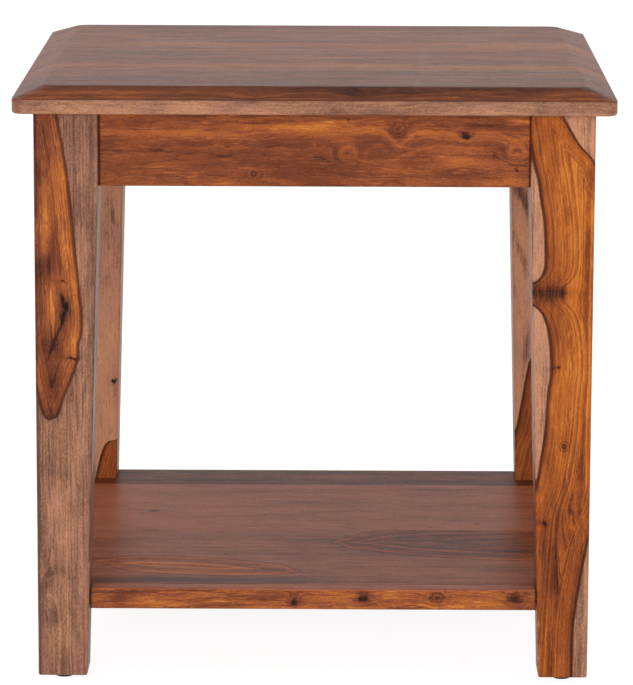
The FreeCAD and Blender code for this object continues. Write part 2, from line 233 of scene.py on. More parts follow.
def leg_mesh(end, side, sizes):
    """Leg that tapers on its two inner faces below the aprons."""
    low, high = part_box("leg_%s_%s" % (end, side))
    middle = (low + high) / 2
    bm = box_mesh(low, high)
    bmesh.ops.bisect_plane(bm, geom=everything(bm), plane_co=(0, 0, apron_bottom), plane_no=(0, 0, 1))
    foot = [vert for vert in bm.verts if vert.co.z < middle.z]
    for axis, outward in ((0, sides[side]), (1, ends[end])):
        inner = [vert for vert in foot if (vert.co[axis] - middle[axis]) * outward < 0]
        shift = Vector((0, 0, 0))
        shift[axis] = outward * (leg_width - sizes.foot_width)
        bmesh.ops.translate(bm, verts=inner, vec=shift)
    ease(bm, [edge for edge in bm.edges if runs_along(edge, 2)], sizes.leg_arris)
    ease(bm, [edge for edge in bm.edges if lies_level(edge, low.z)], sizes.foot_chamfer, segments=3)
    return bm


def apron_mesh(name, sizes):
    """Apron between two legs, with its lower edges eased."""
    low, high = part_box("apron_" + name)
    axis = 0 if name in ends else 1
    high[axis] = leg_low[axis]
    low[axis] = -leg_low[axis]
    bm = box_mesh(low, high)
    lower = [edge for edge in bm.edges if runs_along(edge, axis) and lies_level(edge, low.z)]
    ease(bm, lower, sizes.board_arris)
    return bm


def top_mesh(sizes):
    """The whole top: a square edge below a bevel that slopes up to the flat field."""
    half = -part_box("top_plank_front")[0].x
    bm = bmesh.new()
    place = Matrix.Translation((0, 0, top_underside)) @ Matrix.Diagonal((half, half, 1, 1))
    grid = bmesh.ops.create_grid(bm, x_segments=1, y_segments=1, size=1, matrix=place)
    bmesh.ops.bevel(
        bm, geom=grid["verts"], offset=sizes.top_corner, offset_type="OFFSET", affect="VERTICES",
        segments=5, profile=0.5, material=-1)
    edge_top = table_top - sizes.bevel_drop
    face = raise_face(bm, bm.faces[:][0], edge_top - top_underside, 0)
    raise_face(bm, face, sizes.bevel_drop, sizes.bevel_width)
    for z in (top_underside, edge_top, table_top):
        ease(bm, [edge for edge in bm.edges if lies_level(edge, z)], sizes.top_arris)
    return bm


def shelf_mesh(sizes):
    """The whole shelf panel, notched round the legs."""
    at_shelf = (shelf_top - leg_low.z) / (apron_bottom - leg_low.z)
    width = sizes.foot_width + (leg_width - sizes.foot_width) * at_shelf
    notch_x = leg_high.x - width - sizes.notch_gap
    notch_y = leg_high.y - width - sizes.notch_gap
    outline = []
    for side, end in ((-1, -1), (1, -1), (1, 1), (-1, 1)):
        edge_y = shelf_front if end < 0 else shelf_back
        inner_x = side * notch_x
        inner_y = end * notch_y
        corner = [(side * shelf_side, inner_y), (inner_x, inner_y), (inner_x, edge_y)]
        outline += corner if side * end > 0 else corner[::-1]
    bm = bmesh.new()
    face = bm.faces.new([bm.verts.new((x, y, shelf_underside)) for x, y in outline])
    raise_face(bm, face, shelf_top - shelf_underside, 0)
    for z in (shelf_underside, shelf_top):
        rim = [edge for edge in bm.edges if lies_level(edge, z) and is_outer_rim(edge)]
        ease(bm, rim, sizes.shelf_arris)
    return bm


def is_outer_rim(edge):
    """True for an edge along the outside of the shelf, not in a notch."""
    middle = (edge.verts[0].co + edge.verts[1].co) / 2
    on_side = abs(middle.x) > shelf_side - same_place
    on_end = middle.y < shelf_front + same_place or middle.y > shelf_back - same_place
    return on_side or on_end


def glide_mesh(node):
    """Low round glide with a rounded edge and a dimple for its nail."""
    low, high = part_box(node)
    middle = (low + high) / 2
    radius = (high.x - low.x) / 2
    rim, chamfer, dimple = (low.z + share * (high.z - low.z) for share in (0.25, 0.07, 0.2))
    profile = (
        (0, high.z), (radius, high.z), (radius, rim), (0.97 * radius, chamfer), (0.92 * radius, low.z),
        (0.42 * radius, low.z), (0.36 * radius, dimple), (0, dimple),
    )
    bm = bmesh.new()
    verts = [bm.verts.new((middle.x + across, middle.y, z)) for across, z in profile]
    edges = [bm.edges.new(pair) for pair in zip(verts, verts[1:])]
    bmesh.ops.spin(
        bm, geom=verts + edges, cent=middle, axis=(0, 0, 1), angle=2 * math.pi, steps=32, use_merge=True)
    bmesh.ops.remove_doubles(bm, verts=bm.verts[:], dist=same_place)
    return bm


# Node trees

class Value:
    """What comes out of a node. Where it is a number, arithmetic with it adds Math nodes to its tree."""

    def __init__(self, tree, socket):
        self.tree = tree
        self.socket = socket

    def __add__(self, other):
        return self.tree.math("ADD", self, other)

    def __sub__(self, other):
        return self.tree.math("SUBTRACT", self, other)

    def __mul__(self, other):
        return self.tree.math("MULTIPLY", self, other)

    def __truediv__(self, other):
        return self.tree.math("DIVIDE", self, other)


class Tree:
    """Adds nodes to one tree and links them."""

    def __init__(self, tree):
        self.tree = tree

    def feed(self, socket, value):
        """Links a socket to what comes out of a node, or sets it to a plain value."""
        if isinstance(value, Value):
            self.tree.links.new(value.socket, socket)
        else:
            socket.default_value = value

    def node(self, kind, inputs=(), **settings):
        """New node with its settings, and its inputs fed by number or by name."""
        made = self.tree.nodes.new(kind)
        for name, value in settings.items():
            setattr(made, name, value)
        for key, value in dict(inputs).items():
            self.feed(made.inputs[key], value)
        return made

    def value(self, kind, inputs=(), output=0, **settings):
        """What comes out of a new node, by the output's number or name."""
        return Value(self, self.node(kind, inputs, **settings).outputs[output])

    def values(self, kind, inputs=(), **settings):
        """All that comes out of a new node, by name."""
        made = self.node(kind, inputs, **settings)
        return {socket.name: Value(self, socket) for socket in made.outputs}

    def math(self, operation, *values):
        """Result of a Math node."""
        return self.value("ShaderNodeMath", enumerate(values), operation=operation)

    def vector_math(self, operation, *values):
        """Result of a Vector Math node."""
        return self.value("ShaderNodeVectorMath", enumerate(values), operation=operation)

    def scaled(self, vector, scale):
        """Vector stretched by three factors."""
        return self.vector_math("MULTIPLY", vector, scale)

    def parts(self, vector):
        """The three numbers of a vector."""
        return list(self.values("ShaderNodeSeparateXYZ", {0: vector}).values())

    def joined(self, *numbers):
        """Vector of three numbers."""
        return self.value("ShaderNodeCombineXYZ", enumerate(numbers))

    def between(self, value, low, high, to_low=0.0, to_high=1.0):
        """Smooth step of a value from one range to another."""
        ranges = enumerate((value, low, high, to_low, to_high))
        return self.value("ShaderNodeMapRange", ranges, interpolation_type="SMOOTHSTEP")

    def mix(self, factor, first, second, blend="MIX"):
        """Two colours mixed by a factor."""
        inputs = {0: factor, 6: first, 7: second}
        return self.value("ShaderNodeMix", inputs, 2, data_type="RGBA", blend_type=blend)

    def blended(self, mask, first, second):
        """First number where a mask is 0, second where it is 1."""
        return self.value("ShaderNodeMix", {0: mask, 2: first, 3: second}, data_type="FLOAT")

    def wandered(self, vector, scale, reach, seed):
        """Vector moved about by noise of a scale, as far as it reaches each way."""
        drift = self.noise(self.scaled(vector, scale), seed, 1.0, "Color")
        centred = self.vector_math("SUBTRACT", drift, (0.5, 0.5, 0.5))
        return self.vector_math("MULTIPLY_ADD", centred, reach, vector)

    def noise(self, vector, seed, detail=2.0, output="Fac"):
        """Noise over a vector that is already scaled."""
        inputs = {"Vector": vector, "W": seed, "Scale": 1.0, "Detail": detail}
        return self.value("ShaderNodeTexNoise", inputs, output, noise_dimensions="4D")

    def ring_noise(self, ring, density, seed):
        """Noise that changes only from ring to ring, with so many rings to a metre."""
        inputs = {"W": ring * density + seed, "Scale": 1.0, "Detail": 2.0}
        return self.value("ShaderNodeTexNoise", inputs, "Fac", noise_dimensions="1D")

    def place(self, group, **inputs):
        """What comes out of a group node, by name, with its named inputs fed."""
        named = {name.replace("_", " "): value for name, value in inputs.items()}
        return self.values("ShaderNodeGroup", named, node_tree=group)


def new_group(name, inputs, outputs):
    """Empty node group with named sockets: its tree, what it is given and the result it feeds."""
    group = bpy.data.node_groups.new(name, "ShaderNodeTree")
    for way, sockets in (("INPUT", inputs), ("OUTPUT", outputs)):
        for label, kind in sockets.items():
            group.interface.new_socket(name=label, in_out=way, socket_type="NodeSocket" + kind)
    tree = Tree(group)
    return tree, tree.values("NodeGroupInput"), tree.node("NodeGroupOutput").inputs


def made_once(name):
    """Lets a function make the node group of this name once, and finds the group again after that."""
    def wrap(make):
        def group():
            return bpy.data.node_groups.get(name) or make(name)
        return group
    return wrap


@made_once("Grain flow")
def grain_flow_group(name):
    """Group that lets straight grain wander: it moves board coordinates sideways by noise."""
    tree, given, result = new_group(
        name, {"Vector": "Vector", "Wave": "Float", "Seed": "Float"}, {"Vector": "Vector"})
    place = given["Vector"]
    for scale, share in (((5, 14, 14), 2.0), ((18, 60, 60), 0.7), ((70, 220, 220), 0.3)):
        reach = given["Wave"] * share
        place = tree.wandered(place, scale, tree.joined(0.0, reach, reach), given["Seed"])
    tree.feed(result["Vector"], place)
    return tree.tree


@made_once("Grain mark")
def grain_mark_group(name):
    """Group that adds one knot, streak, crack or line of painted shade to what earlier marks did to the rings
    and the shade.
    """
    numbers = ("Along", "Across", "Length", "Width", "Lean", "Bend", "Shade", "Core", "Eye",
               "Bend before", "Shade before", "Core before")
    inputs = {"Vector": "Vector"}
    inputs.update({label: "Float" for label in numbers})
    tree, given, result = new_group(name, inputs, {"Bend": "Float", "Shade": "Float", "Core": "Float"})
    along, across = tree.parts(given["Vector"])[:2]
    ahead = along - given["Along"]
    aside = across - given["Across"] - ahead * given["Lean"]
    ahead /= given["Length"]
    aside /= given["Width"]
    square = ahead * ahead + aside * aside
    falloff = tree.math("EXPONENT", square * -1.0)
    core = tree.between(square, 0.5, 0.15)
    ripple_pitch, ripple_fade = 8.2, -0.6
    ripple = tree.math("COSINE", tree.math("SQRT", square) * ripple_pitch)
    ripple *= tree.math("EXPONENT", square * ripple_fade)
    tree.feed(result["Bend"], given["Bend before"] + falloff * given["Bend"])
    tree.feed(result["Shade"], given["Shade before"] + falloff * given["Shade"] + ripple * given["Eye"])
    tree.feed(result["Core"], given["Core before"] + core * given["Core"])
    return tree.tree


@made_once("Figured wood")
def figured_wood_group(name):
    """Group that colours wood from its rings: heartwood, sapwood, dark lines, flecks and open pores."""
    inputs = {"Vector": "Vector"}
    inputs.update({label: "Float" for label in (
        "Ring", "Heart", "Shade", "Heart shade", "Heart contrast", "Sap shade", "Sap contrast", "Core",
        "Lines", "Outline", "Softness", "Seed")})
    inputs.update({label: "Color" for label in (
        "Heart gleam", "Heart light", "Heart mid", "Heart dark", "Heart edge", "Sap light", "Sap dark")})
    tree, given, result = new_group(name, inputs, {"Color": "Color", "Roughness": "Float", "Height": "Float"})

    def patches(scale, shift, detail, low=0.3, high=0.7):
        """Noise over the board, spread to run from 0 to 1."""
        noise = tree.noise(tree.scaled(given["Vector"], scale), given["Seed"] + shift, detail)
        return tree.between(noise, low, high)

    grain = patches((26, 600, 600), 0.0, 3.0)
    cloud = patches((10, 34, 34), 1.0, 2.0)
    mottle = patches((55, 190, 190), 2.0, 2.0)
    speckle = patches((600, 1300, 1300), 3.0, 1.0)
    pore = patches((300, 1900, 1900), 4.0, 1.0, 0.56, 0.68)
    gathered = patches((28, 110, 110), 6.0, 1.0, 0.4, 0.6)
    fleck = patches((120, 1000, 1000), 5.0, 1.0, 0.5, 0.68) * gathered
    grey = patches((20, 45, 45), 7.0, 2.0)
    sap_cloud = patches((20, 48, 48), 8.0, 2.0, 0.25, 0.75)
    sap_mottle = patches((90, 330, 330), 10.0, 2.0, 0.25, 0.75)
    broken = patches((24, 120, 120), 9.0, 2.0, 0.25, 0.55)
    ring = given["Ring"]
    for part, reach in ((grain, 0.0006), (mottle, 0.001)):
        ring += (part - 0.5) * reach
    wide_rings, fine_rings = 85.0, 430.0
    band = tree.between(tree.ring_noise(ring, wide_rings, given["Seed"] + 11.3), 0.32, 0.68)
    fine = tree.math("ABSOLUTE", tree.ring_noise(ring, fine_rings, given["Seed"]) - 0.5)
    line = tree.between(fine, 0.11, 0.0) * broken * given["Lines"]

    def toned(kind, shares):
        """Tone from 0, pale, to 1, dark: the parts by their shares, about the shade of one kind of wood."""
        middle_tone = 0.45
        tone = given["Shade"] + middle_tone + given[kind + " shade"]
        for part, share in shares:
            tone += (part - 0.5) * share * given[kind + " contrast"]
        return tone

    heart_tone = toned("Heart", (
        (band, 0.3), (cloud, 0.24), (grain, 0.17), (mottle, 0.18), (speckle, 0.16), (fleck, -0.3),
        (line, 0.42)))
    dark_rim, rim_share = 0.008, 0.22
    heart_tone += tree.between(given["Heart"], dark_rim, 0.0) * given["Outline"] * rim_share
    heart = given["Heart gleam"]
    for label, start, stop in (
            ("Heart light", -0.1, 0.35), ("Heart mid", 0.2, 0.6), ("Heart dark", 0.45, 0.9),
            ("Heart edge", 0.85, 1.35)):
        heart = tree.mix(tree.between(heart_tone, start, stop), heart, given[label])
    sap_tone = toned("Sap", (
        (sap_cloud, 0.36), (sap_mottle, 0.24), (grain, 0.26), (speckle, 0.3), (band, 0.2), (line, 0.26)))
    sap = tree.mix(tree.between(sap_tone, -0.15, 1.15), given["Sap light"], given["Sap dark"])
    cool_tint = (0.82, 0.81, 0.92, 1.0)
    cool = tree.mix(1.0, sap, cool_tint, "MULTIPLY")
    sap = tree.mix(grey * given["Sap contrast"], sap, cool)
    wood = tree.mix(tree.between(given["Heart"] / given["Softness"], -1.0, 1.0), sap, heart)
    outside = tree.between(given["Heart"], -0.0006, 0.0004)
    outline = outside * tree.between(given["Heart"], 0.0036, 0.0008)
    wood = tree.mix(outline * given["Outline"], wood, given["Heart edge"])
    pore_share, core_share = 0.32, 0.92
    wood = tree.mix(pore * pore_share, wood, given["Heart edge"])
    core = tree.math("MINIMUM", given["Core"], 1.0)
    # Near-black for the cores of knots and cracks, and for the painted shadow lines at the ends of the front
    # apron and the shelf strip.
    black_core = (0.012, 0.006, 0.005, 1.0)
    wood = tree.mix(core * core_share, wood, black_core)
    tree.feed(result["Color"], wood)
    tree.feed(result["Roughness"], pore * 0.12 + grain * 0.08 + 0.34)
    tree.feed(result["Height"], grain - pore * 0.6 - core * 2.0 - line * 0.3)
    return tree.tree


@made_once("Rubbed arris")
def worn_and_highlit_arris_group(name):
    """Group that lightens and polishes eased edges: worn lacquer where hands rub it thin, and a painted
    highlight on the arrises.
    """
    tree, given, result = new_group(
        name, {"Vector": "Vector", "Color": "Color", "Roughness": "Float", "Seed": "Float"},
        {"Color": "Color", "Roughness": "Float"})
    widest = 0.0
    for part in tree.parts(tree.values("ShaderNodeNewGeometry")["Normal"]):
        widest = tree.math("MAXIMUM", tree.math("ABSOLUTE", part), widest)
    arris = tree.between(widest, 0.9, 0.75)
    worn = tree.between(tree.noise(tree.scaled(given["Vector"], (35, 90, 90)), given["Seed"]), 0.35, 0.65)
    worn_and_highlit = arris * worn
    pale_tint = (1.35, 1.3, 1.25, 1.0)
    paler_and_highlit = tree.mix(1.0, given["Color"], pale_tint, "MULTIPLY")
    worn_and_highlit_share, polished = 0.6, 0.08
    # Paler colour on the eased edges: partly worn lacquer, partly a painted highlight.
    tree.feed(result["Color"], tree.mix(worn_and_highlit * worn_and_highlit_share, given["Color"], paler_and_highlit))
    tree.feed(result["Roughness"], given["Roughness"] - worn_and_highlit * polished)
    return tree.tree


# Figure of the boards

class Mark(NamedTuple):
    """A knot, streak or crack, or a patch of painted shade or light: where it lies on a board, in metres, and
    what it does there.
    """

    along: float
    across: float
    length: float
    width: float
    lean: float = 0.0
    bend: float = 0.0
    shade: float = 0.0
    core: float = 0.0
    eye: float = 0.0
    straight: bool = False


class Figure(NamedTuple):
    """What a board shows: its grain direction, its rings or heartwood, and its marks."""

    grain: str
    seed: float
    pith: tuple = ()
    heart_low: tuple = ()
    heart_high: tuple = ()
    face: float = 0.0
    tilt: float = 0.0
    nested: bool = True
    wave: float = 0.003
    spread: float = 1.0
    lines: float = 1.0
    shade: float = 0.0
    contrast: float = 1.0
    sap_shade: float = 0.0
    sap_contrast: float = 1.0
    outline: float = 0.8
    softness: float = 0.0003
    gloss: float = 0.06
    rosy: bool = False
    tint: tuple = (1.0, 1.0, 1.0)
    marks: tuple = ()


apron_tint = (1.0, 1.06, 1.3)
top_tint = (1.0, 1.06, 1.15)


def knot(along, across, size, core=0.9):
    """Round knot with a dark middle, which the rings flow round."""
    return Mark(along, across, 1.3 * size, size, bend=1.2 * size, shade=0.2, core=core, eye=0.12)


def pale_knot(along, across, size):
    """Round knot with a paler middle inside thin dark rings."""
    return Mark(along, across, 1.2 * size, size, bend=0.9 * size, shade=0.12, eye=-0.14, straight=True)


def streaks(*places):
    """Marks that only shade the wood, each by its place along and across, length, width and shade."""
    return [Mark(*place, shade=shade) for *place, shade in places]


def crack(places, width, core):
    """Dark crack through a row of places, wider in its middle."""
    marks = []
    for (along, across), (next_along, next_across) in zip(places, places[1:]):
        run = next_along - along
        lean = (next_across - across) / run
        middle = ((along + next_along) / 2, (across + next_across) / 2)
        marks.append(Mark(*middle, 0.9 * abs(run), width, lean=lean, shade=0.3, core=core))
    return tuple(marks)


def front_left_leg_figure():
    """A flame of heartwood that ends in a point, in pale sapwood."""
    low = ((0.0, -0.186), (0.192, -0.19), (0.204, -0.1993), (0.205, -0.2018), (0.2082, -0.2045),
           (0.2138, -0.2066), (0.2236, -0.209), (0.24, -0.2135), (0.28, -0.219), (0.44, -0.221))
    high = ((0.0, -0.208), (0.192, -0.206), (0.204, -0.1993), (0.205, -0.1966), (0.2082, -0.1924),
            (0.2138, -0.1904), (0.2205, -0.1884), (0.2275, -0.1856), (0.2375, -0.1814),
            (0.2475, -0.178), (0.2542, -0.1764), (0.2608, -0.1767), (0.27, -0.1742), (0.2808, -0.1737),
            (0.3023, -0.1756), (0.335, -0.1786), (0.3744, -0.1823), (0.3989, -0.1853), (0.421, -0.1888),
            (0.44, -0.192))
    marks = crack(((0.3006, -0.1902), (0.294, -0.1874), (0.2898, -0.1856), (0.284, -0.1883), (0.2774, -0.19)),
                  0.0019, 0.85)
    marks += crack(((0.2774, -0.19), (0.2691, -0.1934), (0.2607, -0.1967), (0.2532, -0.1996)), 0.0014, 0.5)
    marks += (
        Mark(0.2912, -0.1864, 0.005, 0.0026, shade=0.3, core=0.9),
        # Painted shade: a dark line just inside the leg's outer left arris.
        Mark(0.2, -0.2083, 1.0, 0.0008, shade=0.3, straight=True),
        Mark(0.3109, -0.188, 0.0012, 0.0028, shade=0.3, core=0.8),
        Mark(0.2524, -0.182, 0.0014, 0.0065, shade=0.4, core=0.9),
        Mark(0.2628, -0.1926, 0.0016, 0.0012, core=0.7),
        Mark(0.275, -0.194, 0.02, 0.006, lean=0.38, shade=0.14),
        Mark(0.338, -0.1966, 0.013, 0.003, lean=0.1, shade=0.32),
        Mark(0.333, -0.187, 0.022, 0.004, lean=-0.05, shade=-0.3),
        Mark(0.2066, -0.199, 0.0034, 0.0062, core=0.55),
        Mark(0.221, -0.1738, 0.03, 0.001, lean=0.07, shade=0.3),
        Mark(0.074, -0.204, 0.014, 0.007, bend=0.012),
        Mark(0.084, -0.2, 0.007, 0.006, lean=0.4, shade=0.16),
        Mark(0.052, -0.197, 0.008, 0.01, lean=-0.5, shade=0.2),
        *streaks(
            (0.289, -0.187, 0.013, 0.0055, 0.36), (0.262, -0.195, 0.009, 0.006, 0.26),
            (0.3215, -0.2005, 0.011, 0.008, 0.46), (0.316, -0.206, 0.014, 0.004, 0.26),
            (0.394, -0.2045, 0.01, 0.004, 0.3), (0.425, -0.2, 0.022, 0.012, 0.14),
            (0.375, -0.194, 0.022, 0.0055, -0.2), (0.3497, -0.2024, 0.014, 0.003, -0.28),
            (0.294, -0.1972, 0.012, 0.0035, -0.3), (0.303, -0.18, 0.014, 0.0026, -0.3),
            (0.2641, -0.181, 0.008, 0.003, -0.28), (0.21, -0.1985, 0.005, 0.007, 0.3),
            (0.23, -0.1965, 0.02, 0.01, 0.3), (0.0718, -0.208, 0.006, 0.004, 0.45),
            (0.135, -0.2, 0.03, 0.006, -0.15), (0.145, -0.1735, 0.035, 0.004, 0.28),
            (0.1, -0.19, 0.03, 0.008, -0.2), (0.03, -0.185, 0.02, 0.01, -0.15),
        ),
    )
    return Figure(
        "ZXY", 3.1, heart_low=low, heart_high=high, face=-leg_high.y, tilt=-0.4, wave=0.0025,
        shade=0.09, contrast=0.85, sap_shade=0.22, sap_contrast=0.95, tint=(1.0, 1.08, 1.3), marks=marks)


def front_right_leg_figure():
    """Bright heartwood with two sapwood lenses, a pale corner and a pale wedge at the foot."""
    low = ((0.0, 0.15), (0.12, 0.158), (0.1595, 0.1692), (0.1725, 0.171), (0.1983, 0.1745),
           (0.2291, 0.1765), (0.2458, 0.1783), (0.2583, 0.1777), (0.2724, 0.1759), (0.2823, 0.1733),
           (0.2906, 0.1683), (0.2939, 0.1642), (0.3, 0.16), (0.306, 0.16), (0.3108, 0.164),
           (0.3137, 0.168), (0.3203, 0.1716), (0.3286, 0.1727), (0.3513, 0.1719), (0.3718, 0.1692),
           (0.3882, 0.1666), (0.4004, 0.1636), (0.415, 0.161), (0.44, 0.157))
    high = ((0.0, 0.1985), (0.0423, 0.1993), (0.0581, 0.2006), (0.0764, 0.2033), (0.0986, 0.2068),
            (0.113, 0.21), (0.15, 0.222), (0.3, 0.235), (0.39, 0.217), (0.4047, 0.2083),
            (0.4161, 0.1981), (0.4242, 0.1931), (0.4339, 0.1873), (0.44, 0.184))
    marks = (
        Mark(0.3036, 0.168, 0.0052, 0.024, shade=0.5, straight=True),
        Mark(0.3049, 0.169, 0.0016, 0.026, core=0.3, straight=True),
        Mark(0.3018, 0.164, 0.0013, 0.019, core=0.3, straight=True),
        Mark(0.3038, 0.1868, 0.0034, 0.005, shade=0.2, core=0.25),
        Mark(0.3036, 0.168, 0.009, 0.02, bend=0.008),
        knot(0.2466, 0.1844, 0.0014),
        Mark(0.1855, 0.1895, 0.0036, 0.0032, bend=0.003, shade=0.5, eye=-0.34, straight=True),
        Mark(0.1826, 0.1903, 0.0012, 0.002, core=0.5),
        knot(0.1263, 0.1755, 0.0022),
        Mark(0.14, 0.1895, 0.045, 0.0095, bend=0.008),
        *streaks(
            (0.3105, 0.166, 0.0035, 0.006, 0.35), (0.296, 0.167, 0.0045, 0.007, 0.35),
            (0.3036, 0.174, 0.008, 0.016, 0.22), (0.2455, 0.1805, 0.0015, 0.005, 0.4),
            (0.1263, 0.171, 0.003, 0.006, 0.35), (0.1555, 0.1898, 0.008, 0.001, 0.42),
            (0.07, 0.178, 0.05, 0.012, 0.14), (0.3883, 0.206, 0.012, 0.0035, 0.38),
            (0.3645, 0.1908, 0.006, 0.003, 0.3), (0.32, 0.178, 0.07, 0.006, 0.12),
            (0.415, 0.178, 0.03, 0.012, 0.12), (0.3391, 0.1955, 0.045, 0.007, -0.2),
            (0.3907, 0.1855, 0.02, 0.004, -0.16), (0.25, 0.2, 0.05, 0.006, -0.18),
            (0.1, 0.186, 0.08, 0.024, 0.32), (0.0, 0.182, 0.03, 0.012, 0.15),
        ),
    )
    return Figure(
        "ZXY", 7.7, heart_low=low, heart_high=high, face=-leg_high.y, tilt=0.55, nested=False,
        lines=1.3, shade=-0.12, contrast=0.92, sap_shade=-0.14, tint=(1.0, 0.97, 0.9), marks=marks)


def back_left_leg_figure():
    """Pale sapwood with a knot, and heartwood that comes in at the foot."""
    low = ((0.0, -0.2), (0.0783, -0.1857), (0.0958, -0.1813), (0.1031, -0.1778), (0.1057, -0.1713),
           (0.1063, -0.167), (0.12, -0.15), (0.44, -0.14))
    high = ((0.0, -0.12), (0.44, -0.12))
    marks = (
        Mark(0.1575, -0.1715, 0.0035, 0.005, lean=0.5, shade=0.4, core=1.0, bend=0.006),
        Mark(0.34, -0.17, 0.02, 0.002, lean=0.15, shade=-0.35),
        Mark(0.3, -0.171, 0.016, 0.003, lean=-0.35, shade=0.34),
        Mark(0.25, -0.174, 0.014, 0.005, lean=0.3, shade=0.28),
        *streaks(
            (0.147, -0.171, 0.01, 0.0014, 0.45), (0.17, -0.178, 0.012, 0.01, 0.12),
            (0.205, -0.176, 0.006, 0.003, 0.4),
        ),
    )
    # The sapwood is paler than the front legs', partly as painted light that makes up for the weaker light
    # reaching the back legs under the top.
    return Figure(
        "ZXY", 12.4, heart_low=low, heart_high=high, face=leg_low.y, tilt=0.2, contrast=0.6,
        sap_shade=-0.42, sap_contrast=1.1, marks=marks)


def back_right_leg_figure():
    """Pale sapwood with dark slanting streaks and brown heartwood that rises from the foot."""
    low = ((0.0, 0.15), (0.1, 0.165), (0.1186, 0.1721), (0.129, 0.1738), (0.1478, 0.1768),
           (0.1638, 0.1793), (0.176, 0.1819), (0.2, 0.195), (0.44, 0.21))
    high = ((0.0, 0.25), (0.44, 0.25))
    marks = (
        Mark(0.315, 0.174, 0.022, 0.0045, lean=-0.4, shade=1.1),
        Mark(0.345, 0.163, 0.024, 0.006, lean=-0.4, shade=1.1),
        Mark(0.365, 0.176, 0.02, 0.004, lean=-0.3, shade=0.4),
        Mark(0.27, 0.172, 0.024, 0.004, lean=-0.3, shade=0.8),
        Mark(0.225, 0.17, 0.03, 0.0026, lean=-0.2, shade=0.6),
        Mark(0.19, 0.179, 0.03, 0.003, lean=0.15, shade=0.7),
    )
    # The sapwood is paler than the front legs', partly as painted light that makes up for the weaker light
    # reaching the back legs under the top.
    return Figure(
        "ZXY", 15.9, heart_low=low, heart_high=high, face=leg_low.y, tilt=0.2, shade=0.12, contrast=0.6,
        sap_shade=-0.66, marks=marks)


def front_apron_figure():
    """Heartwood with level grain that flows round a row of knots, and painted shadow where it meets the legs.
    """
    marks = (
        # Painted shadow: near-black lines at both ends, where the apron meets the legs.
        Mark(-leg_low.x, 0.41, 0.0034, 0.3, core=0.8, straight=True),
        Mark(leg_low.x, 0.41, 0.0026, 0.3, core=0.8, straight=True),
        pale_knot(0.0252, 0.4073, 0.0075),
        pale_knot(0.1512, 0.4077, 0.0075),
        pale_knot(-0.0452, 0.3923, 0.0042),
        Mark(0.0625, 0.4265, 0.007, 0.006, bend=0.008, shade=0.16, eye=0.14),
        Mark(0.063, 0.414, 0.008, 0.008, bend=0.004, shade=0.1),
        knot(0.1129, 0.4206, 0.0036),
        knot(0.1517, 0.3955, 0.0016),
        Mark(0.024, 0.433, 0.0018, 0.0012, shade=0.3, core=0.6),
        Mark(0.146, 0.4225, 0.014, 0.001, lean=-0.4, shade=0.3),
        Mark(0.13, 0.424, 0.035, 0.004, lean=-0.12, shade=0.14),
        *streaks(
            (0.036, 0.4332, 0.012, 0.0012, 0.2), (-0.012, 0.396, 0.035, 0.011, 0.16),
            (0.03, 0.4, 0.05, 0.02, 0.05), (-0.135, 0.409, 0.03, 0.0016, 0.26),
            (-0.145, 0.417, 0.01, 0.0014, 0.2), (-0.038, 0.4135, 0.018, 0.0016, 0.28),
            (-0.038, 0.422, 0.01, 0.004, 0.18), (0.023, 0.3905, 0.016, 0.0016, 0.25),
            (0.05, 0.41, 0.01, 0.004, 0.2), (0.136, 0.408, 0.008, 0.005, 0.22),
            (0.1, 0.4288, 0.03, 0.001, 0.3), (-0.115, 0.429, 0.022, 0.002, -0.24),
            (-0.11, 0.422, 0.06, 0.02, 0.18), (-0.005, 0.4285, 0.026, 0.0045, -0.26),
            (0.107, 0.4015, 0.018, 0.006, -0.36), (-0.068, 0.387, 0.014, 0.003, -0.2),
            (0.146, 0.387, 0.016, 0.0024, -0.25), (0.156, 0.4325, 0.009, 0.0024, -0.5),
        ),
    )
    return Figure(
        "XZY", 21.2, pith=(0.395, -0.13), wave=0.0045, lines=0.8, shade=0.17, contrast=0.85,
        tint=apron_tint, marks=marks)


def shelf_strip_figure():
    """Bright heartwood with four knots in a row and grain that dips round them, a pale top that is partly a
    painted highlight, and painted shadow at both ends.
    """
    marks = (
        # Painted shadow: near-black lines at both ends, where the strip meets the legs.
        Mark(-0.1705, 0.06, 0.003, 0.1, core=0.8, straight=True),
        Mark(0.1705, 0.06, 0.0024, 0.1, core=0.8, straight=True),
        Mark(-0.0141, 0.0614, 0.0042, 0.0034, bend=0.008, shade=0.32, core=0.6),
        Mark(-0.014, 0.066, 0.005, 0.004, bend=0.004, shade=0.16),
        Mark(0.0388, 0.0654, 0.0072, 0.0046, bend=0.008, shade=0.42, core=0.7),
        Mark(0.0954, 0.0659, 0.0065, 0.0046, bend=0.009, shade=0.24, eye=0.26),
        Mark(0.0958, 0.0655, 0.003, 0.0022, core=0.5),
        Mark(0.1544, 0.0664, 0.0068, 0.0056, bend=0.009, shade=0.42, core=0.62, eye=0.14),
        Mark(-0.032, 0.06, 0.012, 0.002, lean=0.2, shade=-0.24),
        Mark(-0.05, 0.066, 0.03, 0.0016, lean=-0.12, shade=0.24),
        *streaks(
            (-0.1595, 0.0725, 0.01, 0.0018, -0.5), (-0.15, 0.0637, 0.008, 0.003, 0.18),
            (0.069, 0.058, 0.014, 0.0022, 0.25), (-0.1, 0.063, 0.04, 0.003, -0.12),
            (0.012, 0.066, 0.016, 0.003, -0.24), (0.125, 0.061, 0.02, 0.003, -0.2),
        ),
    )
    # Above the heartwood's upper edge, the strip's top face and the upper half of its rounded front arris are
    # pale rosy wood: partly the wood's colour, partly a painted highlight along the arris.
    low = ((-0.21, 0.0), (0.21, 0.0))
    high = ((-0.21, shelf_top - 0.0012), (0.21, shelf_top - 0.0012))
    return Figure(
        "XZY", 26.5, pith=(0.03, -0.17), heart_low=low, heart_high=high, wave=0.006, shade=0.02,
        sap_shade=-0.42, outline=0.0, softness=0.0005, rosy=True, tint=(1.0, 1.1, 1.4), marks=marks)


